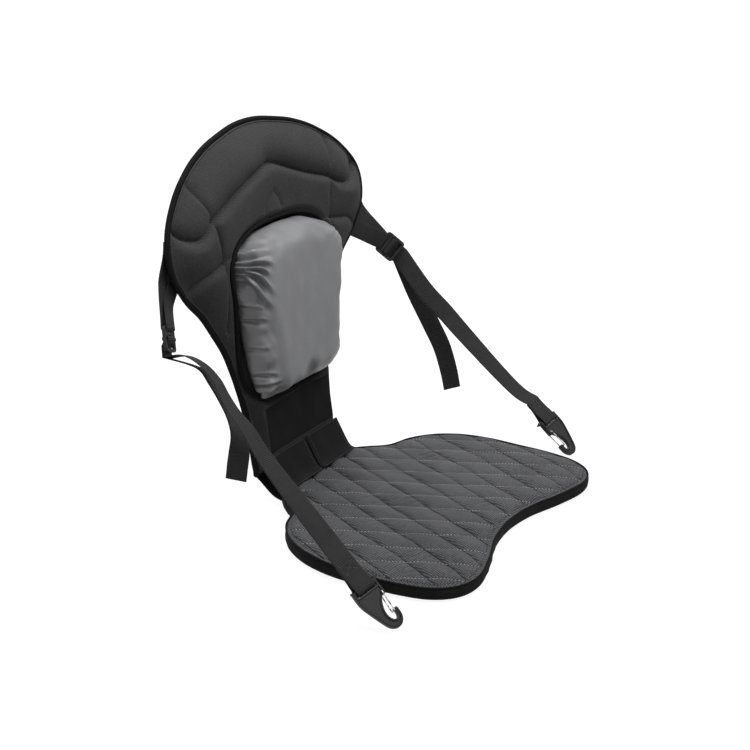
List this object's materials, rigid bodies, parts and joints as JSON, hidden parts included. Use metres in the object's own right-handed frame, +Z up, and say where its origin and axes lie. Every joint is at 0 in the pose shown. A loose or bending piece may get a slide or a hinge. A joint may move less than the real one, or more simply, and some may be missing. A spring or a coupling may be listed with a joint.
{
  "type": "kayak seat",
  "caption": "Soft kayak seat: quilted pad, tall moulded backrest with a lumbar pillow, and webbing adjusters ending in snap hooks.",
  "frame": {"origin": "under the middle of the seat pad, on the floor that the pad rests on", "axes": "+Z up, -Y the way the sitter faces, +X to the sitter's left"},
  "size_m": [0.5706, 0.4235, 0.4742],
  "materials": {
    "quilted_top_cloth": "charcoal woven polyester, quilted",
    "black_cloth": "plain black nylon",
    "moulded_knit": "matte knit over moulded foam",
    "closed_cell_foam": "closed-cell foam",
    "plastic_sheet": "matte sheet",
    "coated_nylon": "coated nylon with a satin sheen",
    "black_webbing": "flat woven polypropylene",
    "moulded_nylon": "satin moulded nylon",
    "stainless_wire": "bright drawn wire",
    "piping": "corded piping"
  },
  "bodies": {
    "seat": {"adjuster_strap_left": "black_webbing", "adjuster_strap_right": "black_webbing", "backrest_edge_binding": "piping", "backrest_foam": "moulded_knit", "backrest_piping": "piping", "backrest_rear_cover": "black_cloth", "backrest_stiffener": "plastic_sheet", "closure_tab_left": "black_cloth", "closure_tab_right": "black_cloth", "hinge_panel": "black_cloth", "ladder_buckle_left": "moulded_nylon", "ladder_buckle_right": "moulded_nylon", "lumbar_panel": "black_cloth", "lumbar_pillow": "coated_nylon", "recess_binding": "piping", "seat_pad_base_cover": "black_cloth", "seat_pad_foam": "closed_cell_foam", "seat_pad_piping": "piping", "seat_pad_side_band": "black_cloth", "seat_pad_top_cover": "quilted_top_cloth", "yoke_strap_left": "black_webbing", "yoke_strap_right": "black_webbing"},
    "hook_left": {"snap_hook_left": "moulded_nylon"},
    "hook_right": {"snap_hook_right": "moulded_nylon"},
    "gate_left": {"hook_gate_left": "stainless_wire"},
    "gate_right": {"hook_gate_right": "stainless_wire"}
  },
  "joints": [
    {"name": "hook_swing_left", "type": "hinge", "parent": "seat", "child": "hook_left", "pos_m": [-0.27856, -0.08039, 0.042], "axis": [-0.8972, 0.3258, -0.2982], "range_deg": [0, 60]},
    {"name": "hook_swing_right", "type": "hinge", "parent": "seat", "child": "hook_right", "pos_m": [0.25663, -0.05566, 0.04531], "axis": [-0.9691, 0.1323, -0.2083], "range_deg": [0, 60]},
    {"name": "hook_gate_swing_left", "type": "hinge", "parent": "hook_left", "child": "gate_left", "pos_m": [-0.26759, -0.09576, 0.03646], "axis": [0.4376, 0.5642, -0.7001], "range_deg": [0, 15], "stiffness_Nm_per_rad": 0.02},
    {"name": "hook_gate_swing_right", "type": "hinge", "parent": "hook_right", "child": "gate_right", "pos_m": [0.24457, -0.06445, 0.03247], "axis": [-0.2416, -0.6801, 0.6922], "range_deg": [0, 15], "stiffness_Nm_per_rad": 0.02}
  ]
}
